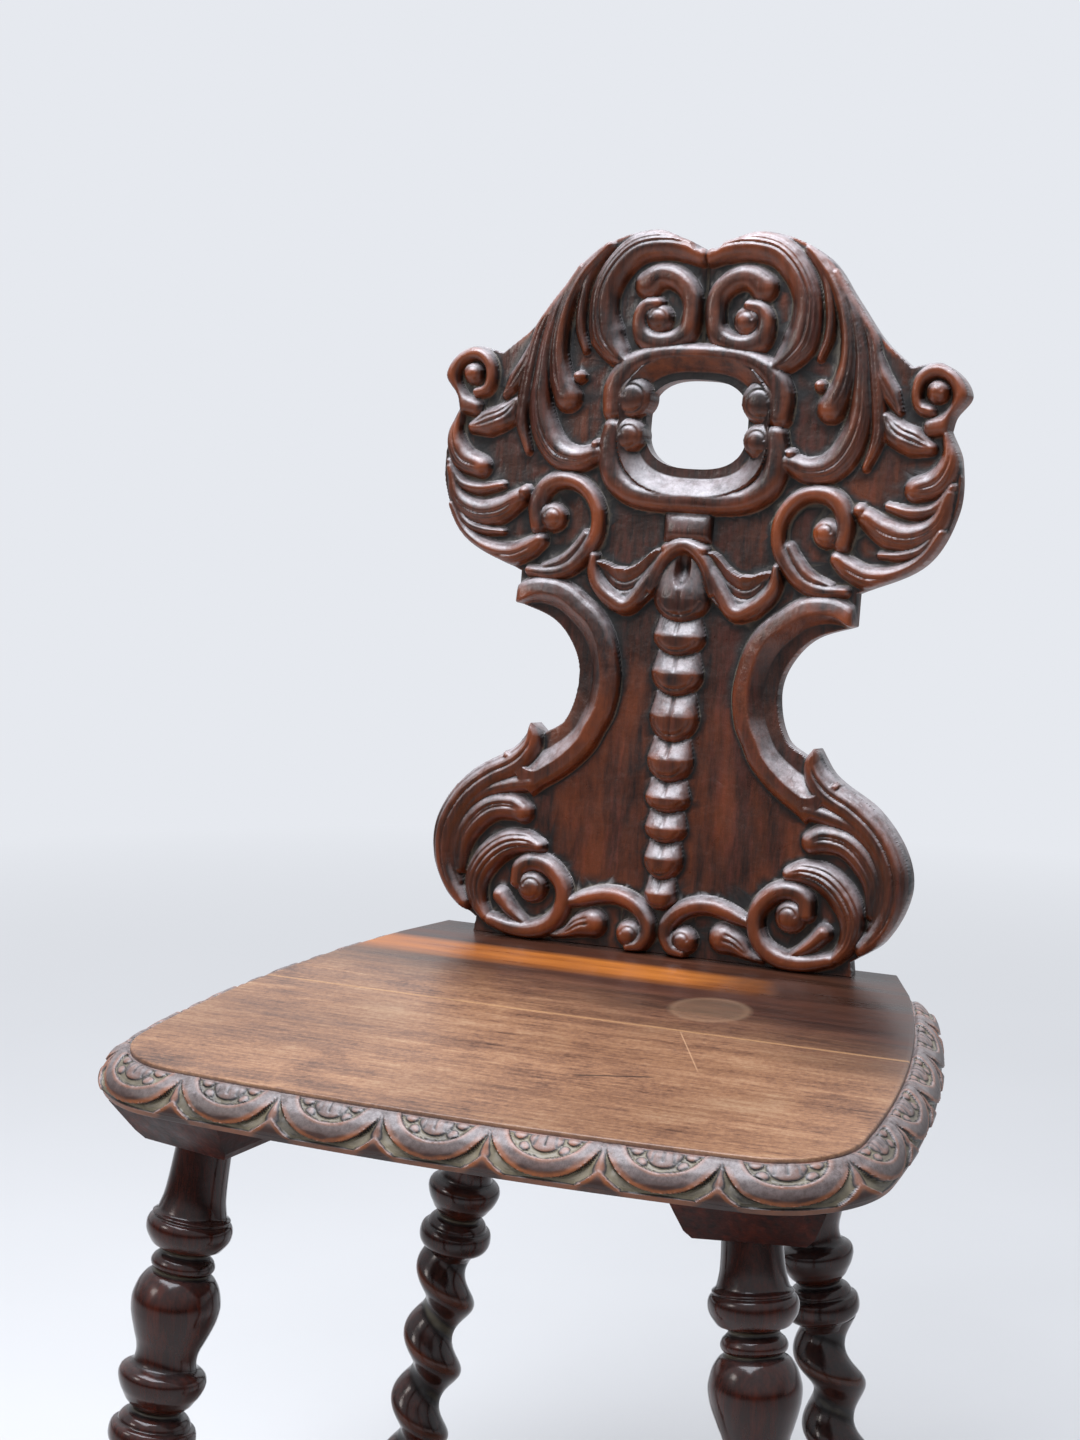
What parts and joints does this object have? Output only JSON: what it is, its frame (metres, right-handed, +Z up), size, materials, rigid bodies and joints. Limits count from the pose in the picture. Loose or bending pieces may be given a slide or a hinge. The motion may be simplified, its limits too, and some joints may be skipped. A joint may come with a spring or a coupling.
{
  "type": "carved board chair",
  "caption": "Wooden board chair with a carved and pierced back board, a shaped plank seat with a lunette edge, and splayed turned legs with barley-twist shafts.",
  "frame": {"origin": "on the floor, under the centre of the chair's bounding box", "axes": "+Z up, +X to the right of someone facing the chair from the front, +Y towards the back of the chair"},
  "size_m": [0.4498, 0.4664, 0.8908],
  "materials": {
    "carved_wood": "dark waxed, carved",
    "seat_wood": "worn wax",
    "leg_wood": "dark polished, turned",
    "batten_wood": "plain, unpolished",
    "peg_wood": "raw"
  },
  "bodies": {
    "root": {"seat_front_board": "seat_wood", "seat_rear_board": "seat_wood", "back_board": "carved_wood", "batten_left": "batten_wood", "batten_right": "batten_wood", "back_key_left": "peg_wood", "back_key_right": "peg_wood", "leg_front_left": "leg_wood", "leg_front_right": "leg_wood", "leg_rear_left": "leg_wood", "leg_rear_right": "leg_wood", "leg_wedge_front_left": "peg_wood", "leg_wedge_front_right": "peg_wood", "leg_wedge_rear_left": "peg_wood", "leg_wedge_rear_right": "peg_wood"}
  },
  "joints": []
}
